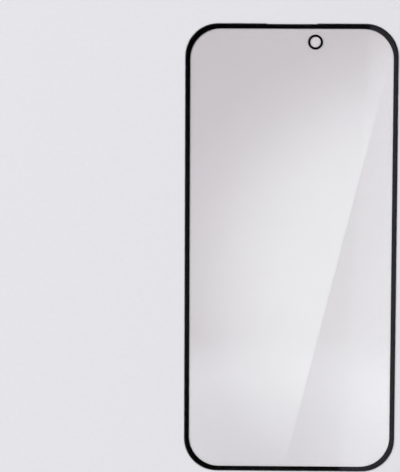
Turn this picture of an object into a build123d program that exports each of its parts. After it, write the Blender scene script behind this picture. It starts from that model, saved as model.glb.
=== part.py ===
from build123d import *
import os
from math import acos, degrees, sin

# A full-cover screen protector, lying with its adhesive face on Z = 0 and its front face up.
# X runs across the sheet, and +Y points to the end with the earpiece and the camera.

# Sheet outline
SHEET_WIDTH = 67.6
SHEET_LENGTH = 143.6
CORNER_RADIUS = 10.5

# Glass: the front edge is ground to an arc, above a straight land and a small bevel at the back
GLASS_THICKNESS = 0.33
EDGE_ARC_WIDTH = 0.6
EDGE_LAND = 0.1
BACK_BEVEL = 0.05

# Earpiece relief: a shallow step in the middle of the top edge, with S-shaped shoulders
RELIEF_WIDTH = 16.0
RELIEF_DEPTH = 0.18
RELIEF_BLEND = 0.4

# Black print on the back of the glass: a border round the screen window, a little wider at the top,
# and a ring at the camera. The window's corners are a little rounder than the sheet's own corners,
# set in by the border.
PRINT_THICKNESS = 0.03
PRINT_MARGIN = 0.1
BORDER_WIDTH = 1.58
TOP_BORDER_WIDTH = 1.68
WINDOW_CORNER_EASE = 0.68
RING_INNER_DIAMETER = 3.34
RING_STROKE = 0.68
CAMERA_FROM_CENTRE = 7.4
CAMERA_FROM_TOP = 5.85

# Tinted film with its adhesive coat: a plate under the print that fills the print's window
FILM_THICKNESS = 0.15
FILM_MARGIN = 0.5
FILM_WINDOW_LAP = 0.3

# Levels of the layers, and places worked out from the sizes above
print_level = FILM_THICKNESS
glass_level = print_level + PRINT_THICKNESS
front_level = glass_level + GLASS_THICKNESS
edge_arc_drop = GLASS_THICKNESS - EDGE_LAND - BACK_BEVEL
half_length = SHEET_LENGTH / 2
window_width = SHEET_WIDTH - 2 * BORDER_WIDTH
window_length = SHEET_LENGTH - BORDER_WIDTH - TOP_BORDER_WIDTH
window_place = (0, (BORDER_WIDTH - TOP_BORDER_WIDTH) / 2)
window_corner_radius = CORNER_RADIUS - BORDER_WIDTH + WINDOW_CORNER_EASE
camera_place = (CAMERA_FROM_CENTRE, half_length - CAMERA_FROM_TOP)
ring_inner_radius = RING_INNER_DIAMETER / 2
ring_outer_radius = ring_inner_radius + RING_STROKE

# Each shoulder of the relief is two tangent arcs, with a radius that leaves room for the ground edge
shoulder_radius = EDGE_ARC_WIDTH + RELIEF_BLEND
shoulder_turn = acos(1 - RELIEF_DEPTH / (2 * shoulder_radius))
shoulder_run = 2 * shoulder_radius * sin(shoulder_turn)
relief_mouth = (-(RELIEF_WIDTH + shoulder_run) / 2, half_length)

# Outline that the layers share
with BuildSketch() as sheet_outline:
    RectangleRounded(SHEET_WIDTH, SHEET_LENGTH, CORNER_RADIUS)
    with BuildLine():
        outer_arc = JernArc(relief_mouth, (1, 0), shoulder_radius, -degrees(shoulder_turn))
        inner_arc = JernArc(outer_arc @ 1, outer_arc % 1, shoulder_radius, degrees(shoulder_turn))
        Line(inner_arc @ 1, (0, half_length - RELIEF_DEPTH))
        Line(relief_mouth, (0, half_length))
        mirror(about=Plane.YZ)
    make_face(mode=Mode.SUBTRACT)

# Glass sheet: the back edge is bevelled, and the front edge is ground away all round, outside the
# quarter of an ellipse that joins the front face to the land
with BuildPart() as cover_glass:
    with BuildSketch(Plane.XY.offset(glass_level)):
        add(sheet_outline.sketch)
    extrude(amount=GLASS_THICKNESS)
    front_rim = cover_glass.faces().sort_by(Axis.Z)[-1].outer_wire()
    chamfer(cover_glass.faces().sort_by(Axis.Z)[0].edges(), BACK_BEVEL)
    rim_section = Plane((0, -half_length, front_level), x_dir=(0, 1, 0), z_dir=(1, 0, 0))
    with BuildSketch(rim_section) as ground_away:
        with Locations((EDGE_ARC_WIDTH, -edge_arc_drop)):
            Rectangle(2 * EDGE_ARC_WIDTH, 2 * edge_arc_drop, align=(Align.MAX, Align.MIN))
            Ellipse(EDGE_ARC_WIDTH, edge_arc_drop, mode=Mode.SUBTRACT)
    sweep(sections=ground_away.sketch, path=front_rim, mode=Mode.SUBTRACT)

# Black border: a frame from just inside the sheet's edge to the screen window
with BuildPart() as border_print:
    with BuildSketch(Plane.XY.offset(print_level)):
        add(sheet_outline.sketch)
        offset(amount=-PRINT_MARGIN, mode=Mode.REPLACE)
        with Locations(window_place):
            RectangleRounded(window_width, window_length, window_corner_radius, mode=Mode.SUBTRACT)
    extrude(amount=PRINT_THICKNESS)

# Black ring round the camera's place
with BuildPart() as camera_ring_print:
    with BuildSketch(Plane.XY.offset(print_level)):
        with Locations(camera_place):
            Circle(ring_outer_radius)
            Circle(ring_inner_radius, mode=Mode.SUBTRACT)
    extrude(amount=PRINT_THICKNESS)

# Tinted film: it lies under the print, rises inside the window and round the ring to meet the glass,
# and is open at the camera, where its cut edge hides behind the ring
with BuildPart() as tint_film:
    with BuildSketch():
        add(sheet_outline.sketch)
        offset(amount=-FILM_MARGIN, mode=Mode.REPLACE)
    extrude(amount=FILM_THICKNESS)
    with BuildSketch(Plane.XY.offset(print_level)):
        with Locations(window_place):
            RectangleRounded(window_width, window_length, window_corner_radius)
        with Locations(camera_place):
            Circle(ring_outer_radius, mode=Mode.SUBTRACT)
    extrude(amount=PRINT_THICKNESS)
    with BuildSketch():
        with Locations(camera_place):
            Circle(ring_inner_radius + FILM_WINDOW_LAP)
    extrude(amount=glass_level, mode=Mode.SUBTRACT)

os.makedirs("parts", exist_ok=True)
cover_glass.part.label = "cover_glass"
export_step(cover_glass.part, "parts/cover_glass.step")
border_print.part.label = "border_print"
export_step(border_print.part, "parts/border_print.step")
camera_ring_print.part.label = "camera_ring_print"
export_step(camera_ring_print.part, "parts/camera_ring_print.step")
tint_film.part.label = "tint_film"
export_step(tint_film.part, "parts/tint_film.step")
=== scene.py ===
import math

import bmesh
import bpy
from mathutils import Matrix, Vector


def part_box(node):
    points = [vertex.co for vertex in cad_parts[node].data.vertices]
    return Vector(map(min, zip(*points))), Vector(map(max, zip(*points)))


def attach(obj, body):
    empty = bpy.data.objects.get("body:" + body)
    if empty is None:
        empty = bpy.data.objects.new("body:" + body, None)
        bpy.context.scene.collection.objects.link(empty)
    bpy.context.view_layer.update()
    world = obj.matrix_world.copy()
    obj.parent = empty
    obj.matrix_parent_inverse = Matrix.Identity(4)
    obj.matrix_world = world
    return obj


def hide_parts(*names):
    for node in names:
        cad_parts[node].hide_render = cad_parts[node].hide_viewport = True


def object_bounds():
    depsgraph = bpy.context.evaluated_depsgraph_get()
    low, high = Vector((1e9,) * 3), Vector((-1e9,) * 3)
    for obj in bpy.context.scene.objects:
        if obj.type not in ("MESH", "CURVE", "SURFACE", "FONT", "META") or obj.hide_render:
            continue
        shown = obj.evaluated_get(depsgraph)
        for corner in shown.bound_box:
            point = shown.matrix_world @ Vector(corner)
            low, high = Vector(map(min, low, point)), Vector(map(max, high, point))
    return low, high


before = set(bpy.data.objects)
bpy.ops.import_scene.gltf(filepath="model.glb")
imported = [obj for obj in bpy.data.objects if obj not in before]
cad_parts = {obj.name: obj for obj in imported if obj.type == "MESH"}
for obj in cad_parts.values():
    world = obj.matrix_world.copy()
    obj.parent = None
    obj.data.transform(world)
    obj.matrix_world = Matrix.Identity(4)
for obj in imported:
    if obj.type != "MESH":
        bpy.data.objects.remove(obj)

# A full-cover screen protector that lies on a pale floor with its front face up. Lengths are in metres.
# X runs across the sheet, and +Y points to the end with the earpiece relief and the camera ring.
cad_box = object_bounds()
MM = 0.001

# Glass sheet: its outline, its ground front edge and its bevelled back
CORNER_RADIUS = 10.5 * MM
RELIEF_WIDTH = 16.0 * MM
RELIEF_DEPTH = 0.18 * MM
SHOULDER_RADIUS = 1.0 * MM
EDGE_ARC_WIDTH = 0.6 * MM
EDGE_ARC_DROP = 0.18 * MM
BACK_BEVEL = 0.05 * MM
BOND_LINE = 0.02 * MM

# Modelling: steps of the round stretches, a rim round each flat face, and when a face counts as level
CORNER_STEPS = 32
SHOULDER_STEPS = 6
ARC_STEPS = 16
FLAT_RIM = 0.2 * MM
SMOOTH_ANGLE = math.radians(25)
LEVEL_NORMAL = 0.9
CLOSE = 0.01 * MM

# Uneven surfaces: the noise's detail, and the two values between which nearly all of the noise lies.
# Fineness, from here on, is in waves per metre along X, Y and Z.
NOISE_DETAIL = 3.0
NOISE_LOW = 0.3
NOISE_HIGH = 0.7

# Glass: clear where its normal is upright, and satin and a little greener where it slopes
GLASS_IOR = 1.5
GLASS_TINT = (0.957, 0.944, 0.935)
GLASS_SHADE = (0.985, 0.975, 0.972)
UPRIGHT_NORMAL = 0.999
SLOPING_NORMAL = 0.96
EDGE_TINT = (0.87, 0.905, 0.885)
EDGE_LINE_FINENESS = (250, 250, 40000)
EDGE_ROUGHNESS = (0.14, 0.32)
EDGE_LINE_DEPTH = 0.01 * MM
EDGE_LINE_STRENGTH = 0.4

# Film: light grey, between two tints
FILM_IOR = 1.65
FILM_TINTS = ((0.961, 0.959, 0.963), (0.977, 0.957, 0.973))
FILM_SHADE = (0.995, 0.993, 0.994)
FILM_DRIFT_FINENESS = (28, 28, 28)

# Ink: black, between two tints
INK_SPECULAR = 0.02
INK_TINTS = ((0.0008, 0.0005, 0.0007), (0.0014, 0.001, 0.0013))
INK_GRAIN_FINENESS = (6000, 6000, 6000)
INK_GRAIN_DEPTH = 0.004 * MM
INK_GRAIN_STRENGTH = 0.3
INK_DRIFT_FINENESS = (900, 900, 900)
INK_ROUGHNESS = (0.45, 0.65)

# Floor: pale, between two tints, a hairline under the sheet
FLOOR_SIZE = 12.0
FLOOR_DROP = 0.05 * MM
FLOOR_ROUGHNESS = 0.9
FLOOR_TINTS = ((0.768, 0.759, 0.799), (0.784, 0.775, 0.815))
FLOOR_GRAIN_FINENESS = (700, 700, 700)

# Camera, as it looks down on the sheet
CAMERA_PLACE = Vector((-15.341, 68.558, 695.987)) * MM
CAMERA_TURN = [math.radians(angle) for angle in (-5.2861, 1.1379, 0.2309)]
CAMERA_LENS = 166.9
CAMERA_SENSOR = 36.0

# Gloss of the film: the slanting line where its bright part ends, the middle of the bright part's soft
# falloff, measured from the line's foot, and its reach. The part beyond the line is weaker and grows over a
# span. A small spot lights the top right corner. The glass has a faint sheen of its own, which starts at a
# steeper line. The light panels hang where the camera sees them mirrored at these places.
GLOSS_TOP = Vector((28.8, 51.2)) * MM
GLOSS_FOOT = Vector((1.5, -58.2)) * MM
GLOSS_MIDDLE_UP = 54.0 * MM
GLOSS_MIDDLE_RIGHT = 71.2 * MM
GLOSS_REACH = Vector((153.7, 115.1)) * MM
SIDE_SPAN = 24.0 * MM
CORNER_MIDDLE = Vector((33.8, 59.2)) * MM
CORNER_REACH = Vector((11.4, 13.6)) * MM
SHEEN_TOP = Vector((24.4, 70.9)) * MM
SHEEN_FOOT = Vector((15.9, -71.0)) * MM
SHEEN_SPAN = 1.0 * MM

# Fades of the gloss towards the foot of the sheet, across a slanting band: the band's turn, where it starts
# and ends, measured from the middle of the sheet, and the share of the gloss that is left below it
GLOSS_FADE = (math.radians(3.2), -72.1 * MM, -36.8 * MM, 0.68)
SIDE_FADE = (math.radians(39.6), -50.3 * MM, -19.5 * MM, 0.45)

# Soft light at the foot of the film: where its levels start, at the left, their span, and the band across
# which it grows towards the foot
FOOT_LEFT = Vector((-32.0, 0.0)) * MM
FOOT_SPAN = 64.0 * MM
FOOT_FADE = (math.pi, 28.0 * MM, 41.0 * MM, 0.0)

# Light panels, overhead. Three of them hang a little above the others, because their planes overlap.
PANEL_HEIGHT = 1.5
PANEL_LENGTH = 1.2
PANEL_WIDTH = 0.9
CORNER_RISE = 0.002
FOOT_RISE = 0.004
SHEEN_RISE = 0.01
GLOSS_STRENGTH = 3.05
SIDE_STRENGTH = 2.74
CORNER_STRENGTH = 1.07
FOOT_STRENGTH = 1.4
SHEEN_STRENGTH = 0.255
GLOSS_FRONT_SHARE = 0.095
SIDE_FRONT_SHARE = 0.03
GLOSS_LIGHT = (0.87, 1.0, 1.0)
FOOT_LIGHT = (0.86, 1.0, 1.08)
SHEEN_LIGHT = (0.97, 0.92, 1.11)
GLOSS_FALLOFF = ((0, 0), (0.08, 0.045), (0.16, 0.1), (0.24, 0.29), (0.32, 0.62), (0.4, 0.875), (0.48, 1))
SIDE_GROWTH = ((0, 0.656), (0.208, 0.732), (0.583, 0.875), (1, 1))
EVEN_GROWTH = ((0, 0), (1, 1))
FOOT_LEVELS = ((0, 1), (0.25, 0.66), (0.5, 0.42), (1, 0.48))

# Surfaces that a panel's light passes: at most, where the glass mirrors it, and at least, where the film
# does
GLASS_PASSES = 2
FILM_PASSES = 4

# Light from all round: pairs of height and level. Its strips are each soft at one edge and crisp at the
# other, and only the glass and the film mirror them, seen from lower down.
SKY_LEVELS = ((0, 0.12), (0.25, 0.2), (0.45, 0.55), (0.75, 0.55), (0.88, 0.15), (0.93, 0))
STRIP_LEVELS = ((0.1, 0), (0.26, 0.35), (0.45, 0.5), (0.64, 0.75), (0.8, 0.9), (0.9, 0))
STRIP_COUNT = 36
STRIP_SLANT = 4.0
STRIP_GAP = 0.35
WHITE = (1.0, 1.0, 1.0)

# Soft lamps on both sides
LAMP_SIZE = 1.2
LEFT_LAMP_PLACE = (-1.4, 0.5, 1.2)
LEFT_LAMP_POWER = 28.5
RIGHT_LAMP_PLACE = (1.3, -0.9, 1.3)
RIGHT_LAMP_POWER = 15.0


def deselect_all():
    """Leaves nothing selected, so that an operator acts on one piece alone."""
    bpy.ops.object.select_all(action="DESELECT")


def select_only(mesh, kind, wanted):
    """In edit mode, selects the vertices, edges or faces that are wanted, and nothing else."""
    bpy.ops.mesh.select_mode(type=kind)
    bpy.ops.mesh.select_all(action="DESELECT")
    shape = bmesh.from_edit_mesh(mesh)
    parts = {"VERT": shape.verts, "EDGE": shape.edges, "FACE": shape.faces}[kind]
    for part in parts:
        if wanted(part):
            part.select_set(True)
    shape.select_flush_mode()
    bmesh.update_edit_mesh(mesh)


def shape_outline(mesh, width):
    """In edit mode, steps the relief into a plane's top edge, and rounds the corners and the steps."""
    turn = math.acos(1 - RELIEF_DEPTH / (2 * SHOULDER_RADIUS))
    run = 2 * SHOULDER_RADIUS * math.sin(turn)
    tangent = SHOULDER_RADIUS * math.tan(turn / 2)
    mouth = (RELIEF_WIDTH + run) / 2 - tangent
    bottom = (RELIEF_WIDTH - run) / 2 + tangent

    # Four cuts leave points at 0.3 and 0.1 of the width on either side, which move to the relief's corners
    select_only(mesh, "EDGE", lambda edge: all(end.co.y > 0 for end in edge.verts))
    bpy.ops.mesh.subdivide(number_cuts=4)
    for share, reach, drop in ((0.3, mouth, 0), (0.1, bottom, RELIEF_DEPTH)):
        start = share * width
        select_only(mesh, "VERT", lambda v: v.co.y > 0 and abs(abs(v.co.x) - start) < CLOSE)
        bpy.ops.transform.resize(value=(reach / start, 1, 1))
        bpy.ops.transform.translate(value=(0, -drop, 0))

    select_only(mesh, "VERT", lambda v: abs(v.co.x) > width / 2 - CLOSE)
    bpy.ops.mesh.bevel(offset=CORNER_RADIUS, segments=CORNER_STEPS, affect="VERTICES")
    select_only(mesh, "VERT", lambda v: v.co.y > 0 and abs(v.co.x) < mouth + CLOSE)
    bpy.ops.mesh.bevel(offset=tangent, segments=SHOULDER_STEPS, affect="VERTICES")
    bpy.ops.mesh.select_all(action="SELECT")
    bpy.ops.mesh.remove_doubles(threshold=CLOSE / 10)


def raise_front(mesh, land_height):
    """In edit mode, adds the straight land, then the arc, a quarter of an ellipse up to the front face."""
    bpy.ops.mesh.extrude_region_move(TRANSFORM_OT_translate={"value": (0, 0, land_height)})
    bpy.ops.mesh.select_all(action="SELECT")
    bpy.ops.mesh.normals_make_consistent(inside=False)
    select_only(mesh, "FACE", lambda face: face.normal.z > LEVEL_NORMAL)
    for step in range(ARC_STEPS):
        start, end = (math.pi / 2 * mark / ARC_STEPS for mark in (step, step + 1))
        inward = EDGE_ARC_WIDTH * (math.cos(start) - math.cos(end))
        rise = EDGE_ARC_DROP * (math.sin(end) - math.sin(start))
        bpy.ops.mesh.inset(thickness=inward, depth=rise)
    bpy.ops.mesh.inset(thickness=FLAT_RIM, depth=0)


def bevel_back(mesh):
    """In edit mode, bevels the back, up to the hairline."""
    select_only(mesh, "FACE", lambda face: face.normal.z < -LEVEL_NORMAL)
    bpy.ops.mesh.inset(thickness=BACK_BEVEL, depth=BACK_BEVEL - BOND_LINE)
    bpy.ops.mesh.inset(thickness=FLAT_RIM, depth=0)


def model_glass_sheet():
    """The glass sheet. A hairline is left at its back for the clear bond to the print and the film."""
    low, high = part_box("cover_glass")
    width = high.x - low.x
    length = high.y - low.y
    widest_level = low.z + BACK_BEVEL
    land_height = high.z - EDGE_ARC_DROP - widest_level

    deselect_all()
    bpy.ops.mesh.primitive_plane_add(size=1, location=(0, 0, 0))
    sheet = bpy.context.object
    sheet.name = "glass_sheet"
    bpy.ops.object.mode_set(mode="EDIT")
    bpy.ops.transform.resize(value=(width, length, 1))
    bpy.ops.transform.translate(value=(0, 0, widest_level))
    shape_outline(sheet.data, width)
    raise_front(sheet.data, land_height)
    bevel_back(sheet.data)
    bpy.ops.object.mode_set(mode="OBJECT")
    bpy.ops.object.shade_smooth_by_angle(angle=SMOOTH_ANGLE)

    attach(sheet, "root")
    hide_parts("cover_glass")
    return sheet


def new_material(name):
    """A node material, with its node tree and its Principled BSDF."""
    material = bpy.data.materials.new(name)
    material.use_nodes = True
    tree = material.node_tree
    return material, tree, tree.nodes["Principled BSDF"]


def worked_out(tree, operation, *terms):
    """The result of a Math node. Each term is another node's output or a plain number."""
    node = tree.nodes.new("ShaderNodeMath")
    node.operation = operation
    for socket, term in zip(node.inputs, terms):
        if isinstance(term, bpy.types.NodeSocket):
            tree.links.new(term, socket)
        else:
            socket.default_value = term
    return node.outputs["Value"]


def ranged(tree, value, start, end, least=0.0, most=1.0, easing="LINEAR"):
    """A value that runs from least to most while another runs from start to end."""
    node = tree.nodes.new("ShaderNodeMapRange")
    node.interpolation_type = easing
    node.inputs["From Min"].default_value = start
    node.inputs["From Max"].default_value = end
    node.inputs["To Min"].default_value = least
    node.inputs["To Max"].default_value = most
    tree.links.new(value, node.inputs["Value"])
    return node.outputs["Result"]


def unevenness_group():
    """Node group for a value that wanders over a surface, as fine along each axis as it is asked to be."""
    group = bpy.data.node_groups.new("unevenness", "ShaderNodeTree")
    sockets = group.interface
    sockets.new_socket("Place", in_out="INPUT", socket_type="NodeSocketVector")
    sockets.new_socket("Fineness", in_out="INPUT", socket_type="NodeSocketVector")
    sockets.new_socket("Least", in_out="INPUT", socket_type="NodeSocketFloat")
    sockets.new_socket("Most", in_out="INPUT", socket_type="NodeSocketFloat")
    sockets.new_socket("Value", in_out="OUTPUT", socket_type="NodeSocketFloat")
    given = group.nodes.new("NodeGroupInput")
    result = group.nodes.new("NodeGroupOutput")
    stretch = group.nodes.new("ShaderNodeVectorMath")
    stretch.operation = "MULTIPLY"
    noise = group.nodes.new("ShaderNodeTexNoise")
    noise.inputs["Scale"].default_value = 1.0
    noise.inputs["Detail"].default_value = NOISE_DETAIL
    spread = group.nodes.new("ShaderNodeMapRange")
    spread.inputs["From Min"].default_value = NOISE_LOW
    spread.inputs["From Max"].default_value = NOISE_HIGH
    group.links.new(given.outputs["Place"], stretch.inputs[0])
    group.links.new(given.outputs["Fineness"], stretch.inputs[1])
    group.links.new(stretch.outputs["Vector"], noise.inputs["Vector"])
    group.links.new(noise.outputs["Fac"], spread.inputs["Value"])
    group.links.new(given.outputs["Least"], spread.inputs["To Min"])
    group.links.new(given.outputs["Most"], spread.inputs["To Max"])
    group.links.new(spread.outputs["Result"], result.inputs["Value"])


def uneven(tree, place, fineness, least=0.0, most=1.0):
    """Places the unevenness group in a material."""
    node = tree.nodes.new("ShaderNodeGroup")
    node.node_tree = bpy.data.node_groups["unevenness"]
    node.inputs["Fineness"].default_value = fineness
    node.inputs["Least"].default_value = least
    node.inputs["Most"].default_value = most
    tree.links.new(place, node.inputs["Place"])
    return node.outputs["Value"]


def blend_colours(tree, share, first, second):
    """A colour between the first, at a share of 0, and the second, at a share of 1."""
    mix = tree.nodes.new("ShaderNodeMix")
    mix.data_type = "RGBA"
    mix.inputs["A"].default_value = (*first, 1)
    mix.inputs["B"].default_value = (*second, 1)
    tree.links.new(share, mix.inputs["Factor"])
    return mix.outputs["Result"]


def rough_up(tree, shader, height, depth, strength):
    """Gives a shader a fine relief of this depth."""
    bump = tree.nodes.new("ShaderNodeBump")
    bump.inputs["Strength"].default_value = strength
    bump.inputs["Distance"].default_value = depth
    tree.links.new(height, bump.inputs["Height"])
    tree.links.new(bump.outputs["Normal"], shader.inputs["Normal"])


def ground_edge(tree, normal):
    """A mask that is 1 on the ground edges, which slope, and 0 on the flat polished faces."""
    parts = tree.nodes.new("ShaderNodeSeparateXYZ")
    tree.links.new(normal, parts.inputs["Vector"])
    upright = worked_out(tree, "ABSOLUTE", parts.outputs["Z"])
    return ranged(tree, upright, UPRIGHT_NORMAL, SLOPING_NORMAL)


def let_light_through(tree, shader, shade):
    """Lamps and the floor's own light pass the shader unbent, so that what lies behind it is lit."""
    path = tree.nodes.new("ShaderNodeLightPath")
    clear = tree.nodes.new("ShaderNodeBsdfTransparent")
    clear.inputs["Color"].default_value = (*shade, 1)
    surface = shader.outputs["BSDF"]
    for ray in ("Is Shadow Ray", "Is Diffuse Ray"):
        mix = tree.nodes.new("ShaderNodeMixShader")
        tree.links.new(path.outputs[ray], mix.inputs["Fac"])
        tree.links.new(surface, mix.inputs[1])
        tree.links.new(clear.outputs["BSDF"], mix.inputs[2])
        surface = mix.outputs["Shader"]
    tree.links.new(surface, tree.nodes["Material Output"].inputs["Surface"])


def glass_material():
    """Clear polished glass. Its ground edges are satin and a little greener, with lines along the edge."""
    material, tree, shader = new_material("tempered_glass")
    shader.inputs["IOR"].default_value = GLASS_IOR
    shader.inputs["Transmission Weight"].default_value = 1.0
    surface = tree.nodes.new("ShaderNodeTexCoord")
    edge = ground_edge(tree, surface.outputs["Normal"])
    lines = uneven(tree, surface.outputs["Object"], EDGE_LINE_FINENESS, *EDGE_ROUGHNESS)
    satin = worked_out(tree, "MULTIPLY", edge, lines)
    tint = blend_colours(tree, edge, GLASS_TINT, EDGE_TINT)
    tree.links.new(tint, shader.inputs["Base Color"])
    tree.links.new(satin, shader.inputs["Roughness"])
    rough_up(tree, shader, satin, EDGE_LINE_DEPTH, EDGE_LINE_STRENGTH)
    let_light_through(tree, shader, GLASS_SHADE)
    return material


def film_material():
    """Light grey film, glossy and evenly coated, with a faint drift in its tint."""
    material, tree, shader = new_material("tinted_film")
    shader.inputs["Roughness"].default_value = 0.0
    shader.inputs["IOR"].default_value = FILM_IOR
    shader.inputs["Transmission Weight"].default_value = 1.0
    surface = tree.nodes.new("ShaderNodeTexCoord")
    drift = uneven(tree, surface.outputs["Object"], FILM_DRIFT_FINENESS)
    tree.links.new(blend_colours(tree, drift, *FILM_TINTS), shader.inputs["Base Color"])
    let_light_through(tree, shader, FILM_SHADE)
    return material


def ink_material():
    """Black ink, with the fine grain that a printing screen leaves."""
    material, tree, shader = new_material("black_ink")
    shader.inputs["Specular IOR Level"].default_value = INK_SPECULAR
    surface = tree.nodes.new("ShaderNodeTexCoord")
    grain = uneven(tree, surface.outputs["Object"], INK_GRAIN_FINENESS)
    drift = uneven(tree, surface.outputs["Object"], INK_DRIFT_FINENESS, *INK_ROUGHNESS)
    tree.links.new(blend_colours(tree, grain, *INK_TINTS), shader.inputs["Base Color"])
    tree.links.new(drift, shader.inputs["Roughness"])
    rough_up(tree, shader, grain, INK_GRAIN_DEPTH, INK_GRAIN_STRENGTH)
    return material


def floor_material():
    """Pale matt floor with a very faint grain."""
    material, tree, shader = new_material("pale_floor")
    shader.inputs["Roughness"].default_value = FLOOR_ROUGHNESS
    shader.inputs["Specular IOR Level"].default_value = 0.0
    surface = tree.nodes.new("ShaderNodeTexCoord")
    grain = uneven(tree, surface.outputs["Object"], FLOOR_GRAIN_FINENESS)
    tree.links.new(blend_colours(tree, grain, *FLOOR_TINTS), shader.inputs["Base Color"])
    return material


def mirrored_scale():
    """How much larger the mirrored part of the panels' plane is than the part of the sheet it shows on."""
    front = cad_box[1].z
    return 1 + (PANEL_HEIGHT - front) / (CAMERA_PLACE.z - front)


def mirrored(place):
    """The point of the panels' plane that the camera sees mirrored at this place on the front face."""
    return CAMERA_PLACE.xy + (place - CAMERA_PLACE.xy) * mirrored_scale()


def right_of(foot, top):
    """The direction square to a line from foot to top, to the right of it."""
    up = (top - foot).normalized()
    return Vector((up.y, -up.x))


def light_panel(name, foot, top, side, rise, material):
    """A soft light panel overhead, left (-1) or right (1) of the line that shows from foot to top."""
    right = right_of(foot, top)
    middle = mirrored((foot + top) / 2) + right * side * PANEL_WIDTH / 2
    turn = math.atan2(right.y, right.x)
    deselect_all()
    bpy.ops.mesh.primitive_plane_add(size=1, location=(*middle, PANEL_HEIGHT + rise), rotation=(0, 0, turn))
    panel = bpy.context.object
    panel.name = name
    panel.scale = (PANEL_WIDTH, PANEL_LENGTH, 1)
    bpy.ops.object.transform_apply(location=True, rotation=True, scale=True)
    panel.data.materials.append(material)
    panel.visible_camera = False
    panel.visible_diffuse = False
    panel.visible_shadow = False


def level_ramp(tree, share, levels, light):
    """A light's colour, at a level that follows a share, given by a few pairs of share and level."""
    ramp = tree.nodes.new("ShaderNodeValToRGB")
    stops = ramp.color_ramp.elements
    while len(stops) < len(levels):
        stops.new(1.0)
    for stop, (position, level) in zip(stops, levels):
        stop.position = position
        stop.color = (*(level * part for part in light), 1)
    tree.links.new(share, ramp.inputs["Fac"])
    return ramp.outputs["Color"]


def panel_gradient(tree, kind, place, along, size):
    """A gradient over a panel, laid out by a place, a direction and a size on the sheet that mirrors it."""
    surface = tree.nodes.new("ShaderNodeTexCoord")
    layout = tree.nodes.new("ShaderNodeMapping")
    layout.vector_type = "TEXTURE"
    layout.inputs["Location"].default_value = (*mirrored(place), PANEL_HEIGHT)
    layout.inputs["Rotation"].default_value = (0, 0, math.atan2(along.y, along.x))
    layout.inputs["Scale"].default_value = (*(size * mirrored_scale()), 1)
    gradient = tree.nodes.new("ShaderNodeTexGradient")
    gradient.gradient_type = kind
    tree.links.new(surface.outputs["Object"], layout.inputs["Vector"])
    tree.links.new(layout.outputs["Vector"], gradient.inputs["Vector"])
    return gradient.outputs["Fac"]


def panel_fade(tree, turn, start, end, least):
    """A share that grows from the least to 1 across a slanting band of the sheet."""
    along = Vector((math.sin(turn), math.cos(turn)))
    growth = panel_gradient(tree, "LINEAR", along * start, along, Vector((end - start, 1)))
    return ranged(tree, growth, 0.0, 1.0, least)


def panel_material(name, light, layout, levels, on_glass, on_film, fade=None):
    """Light that falls off over a panel, with one strength for the glass to mirror and one for the film.

    Light that the film mirrors has passed the glass twice more than light that the glass mirrors, which its
    transmission depth tells.
    """
    material = bpy.data.materials.new(name)
    material.use_nodes = True
    tree = material.node_tree
    tree.nodes.remove(tree.nodes["Principled BSDF"])
    colour = level_ramp(tree, panel_gradient(tree, *layout), levels, light)
    path = tree.nodes.new("ShaderNodeLightPath")
    passes = path.outputs["Transmission Depth"]
    strength = ranged(tree, passes, GLASS_PASSES, FILM_PASSES, on_glass, on_film)
    if fade:
        strength = worked_out(tree, "MULTIPLY", strength, panel_fade(tree, *fade))
    glow = tree.nodes.new("ShaderNodeEmission")
    clear = tree.nodes.new("ShaderNodeBsdfTransparent")
    both = tree.nodes.new("ShaderNodeAddShader")
    tree.links.new(colour, glow.inputs["Color"])
    tree.links.new(strength, glow.inputs["Strength"])
    tree.links.new(glow.outputs["Emission"], both.inputs[0])
    tree.links.new(clear.outputs["BSDF"], both.inputs[1])
    tree.links.new(both.outputs["Shader"], tree.nodes["Material Output"].inputs["Surface"])
    return material


def hang_gloss_panels():
    """The bright panel left of the gloss line, the weaker one right of it, and the top right corner's."""
    up = (GLOSS_TOP - GLOSS_FOOT).normalized()
    right = right_of(GLOSS_FOOT, GLOSS_TOP)
    middle = GLOSS_FOOT + up * GLOSS_MIDDLE_UP + right * GLOSS_MIDDLE_RIGHT
    spot = ("SPHERICAL", middle, right, GLOSS_REACH)
    on_glass = GLOSS_STRENGTH * GLOSS_FRONT_SHARE
    bright = panel_material(
        "gloss_light", GLOSS_LIGHT, spot, GLOSS_FALLOFF, on_glass, GLOSS_STRENGTH, GLOSS_FADE)
    light_panel("gloss_panel", GLOSS_FOOT, GLOSS_TOP, -1, 0, bright)

    slope = ("LINEAR", GLOSS_FOOT, right, Vector((SIDE_SPAN, 1)))
    on_glass = SIDE_STRENGTH * SIDE_FRONT_SHARE
    weaker = panel_material(
        "side_light", GLOSS_LIGHT, slope, SIDE_GROWTH, on_glass, SIDE_STRENGTH, SIDE_FADE)
    light_panel("side_panel", GLOSS_FOOT, GLOSS_TOP, 1, 0, weaker)

    corner_spot = ("SPHERICAL", CORNER_MIDDLE, Vector((1, 0)), CORNER_REACH)
    corner = panel_material("corner_light", GLOSS_LIGHT, corner_spot, EVEN_GROWTH, 0, CORNER_STRENGTH)
    light_panel("corner_panel", GLOSS_FOOT, GLOSS_TOP, -1, CORNER_RISE, corner)


def hang_foot_panel():
    """The panel that only the film mirrors, at its foot, left of the sheet's right edge."""
    right_edge = cad_box[1].x
    low_end = Vector((right_edge, cad_box[0].y))
    high_end = Vector((right_edge, cad_box[1].y))
    slope = ("LINEAR", FOOT_LEFT, Vector((1, 0)), Vector((FOOT_SPAN, 1)))
    soft = panel_material("foot_light", FOOT_LIGHT, slope, FOOT_LEVELS, 0, FOOT_STRENGTH, FOOT_FADE)
    light_panel("foot_panel", low_end, high_end, -1, FOOT_RISE, soft)


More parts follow.
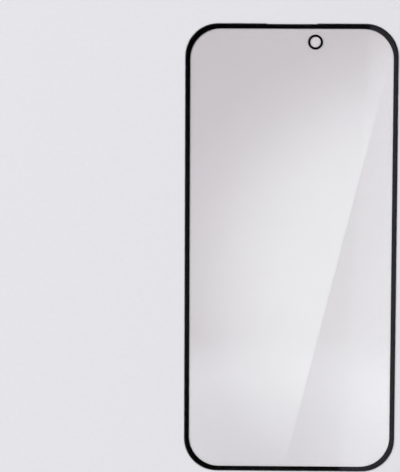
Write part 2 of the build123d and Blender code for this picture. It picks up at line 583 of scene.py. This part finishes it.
def hang_sheen_panel():
    """The panel that only the glass mirrors, right of the sheen's line."""
    step = ("LINEAR", SHEEN_FOOT, right_of(SHEEN_FOOT, SHEEN_TOP), Vector((SHEEN_SPAN, 1)))
    sheen = panel_material("sheen_light", SHEEN_LIGHT, step, EVEN_GROWTH, SHEEN_STRENGTH, 0)
    light_panel("sheen_panel", SHEEN_FOOT, SHEEN_TOP, 1, SHEEN_RISE, sheen)


def slanting_strips(tree, parts):
    """A mask of the strips over all directions, for rays that a piece mirrors or lets through."""
    bearing = worked_out(tree, "ARCTAN2", parts.outputs["Y"], parts.outputs["X"])
    slant = worked_out(tree, "MULTIPLY", parts.outputs["Z"], STRIP_SLANT)
    count = worked_out(tree, "MULTIPLY_ADD", bearing, STRIP_COUNT / (2 * math.pi), slant)
    across = worked_out(tree, "FRACT", count)
    strips = ranged(tree, across, STRIP_GAP, 1.0, easing="SMOOTHSTEP")
    path = tree.nodes.new("ShaderNodeLightPath")
    rays = (path.outputs[ray] for ray in ("Is Glossy Ray", "Is Transmission Ray"))
    return worked_out(tree, "MULTIPLY", strips, worked_out(tree, "MAXIMUM", *rays))


def light_room():
    """Light from all round, with its strips. Overhead it is dark, and the glass mirrors only the panels."""
    world = bpy.data.worlds.new("studio")
    world.use_nodes = True
    tree = world.node_tree
    coordinates = tree.nodes.new("ShaderNodeTexCoord")
    parts = tree.nodes.new("ShaderNodeSeparateXYZ")
    tree.links.new(coordinates.outputs["Generated"], parts.inputs["Vector"])
    height = parts.outputs["Z"]
    sky = tree.nodes["Background"]
    strips = tree.nodes.new("ShaderNodeBackground")
    both = tree.nodes.new("ShaderNodeAddShader")
    tree.links.new(level_ramp(tree, height, SKY_LEVELS, WHITE), sky.inputs["Color"])
    tree.links.new(level_ramp(tree, height, STRIP_LEVELS, WHITE), strips.inputs["Color"])
    tree.links.new(slanting_strips(tree, parts), strips.inputs["Strength"])
    tree.links.new(sky.outputs["Background"], both.inputs[0])
    tree.links.new(strips.outputs["Background"], both.inputs[1])
    tree.links.new(both.outputs["Shader"], tree.nodes["World Output"].inputs["Surface"])
    bpy.context.scene.world = world


def soft_lamp(name, place, power):
    """A large soft lamp that points at the sheet, and that the glass doesn't mirror."""
    lamp = bpy.data.lights.new(name, "AREA")
    lamp.size = LAMP_SIZE
    lamp.energy = power
    holder = bpy.data.objects.new(name, lamp)
    holder.location = place
    holder.rotation_euler = (-Vector(place)).to_track_quat("-Z", "Y").to_euler()
    holder.visible_glossy = False
    holder.visible_transmission = False
    bpy.context.scene.collection.objects.link(holder)


def lay_floor():
    """A plain pale floor, a hairline under the sheet."""
    deselect_all()
    bpy.ops.mesh.primitive_plane_add(size=FLOOR_SIZE, location=(0, 0, -FLOOR_DROP))
    floor = bpy.context.object
    floor.name = "floor"
    bpy.ops.object.transform_apply(location=True)
    floor.data.materials.append(floor_material())


def set_camera():
    """The camera, which looks down on the sheet from above its top end, with a small tilt."""
    lens = bpy.data.cameras.new("camera")
    lens.lens = CAMERA_LENS
    lens.sensor_width = CAMERA_SENSOR
    camera = bpy.data.objects.new("camera", lens)
    camera.location = CAMERA_PLACE
    camera.rotation_euler = CAMERA_TURN
    bpy.context.scene.collection.objects.link(camera)
    bpy.context.scene.camera = camera


unevenness_group()
glass_sheet = model_glass_sheet()
glass_sheet.data.materials.append(glass_material())
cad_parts["tint_film"].material_slots[0].material = film_material()
ink = ink_material()
for node in ("border_print", "camera_ring_print"):
    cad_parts[node].material_slots[0].material = ink

set_camera()
lay_floor()
hang_gloss_panels()
hang_foot_panel()
hang_sheen_panel()
light_room()
soft_lamp("left_lamp", LEFT_LAMP_PLACE, LEFT_LAMP_POWER)
soft_lamp("right_lamp", RIGHT_LAMP_PLACE, RIGHT_LAMP_POWER)
bpy.context.scene.view_settings.view_transform = "Standard"
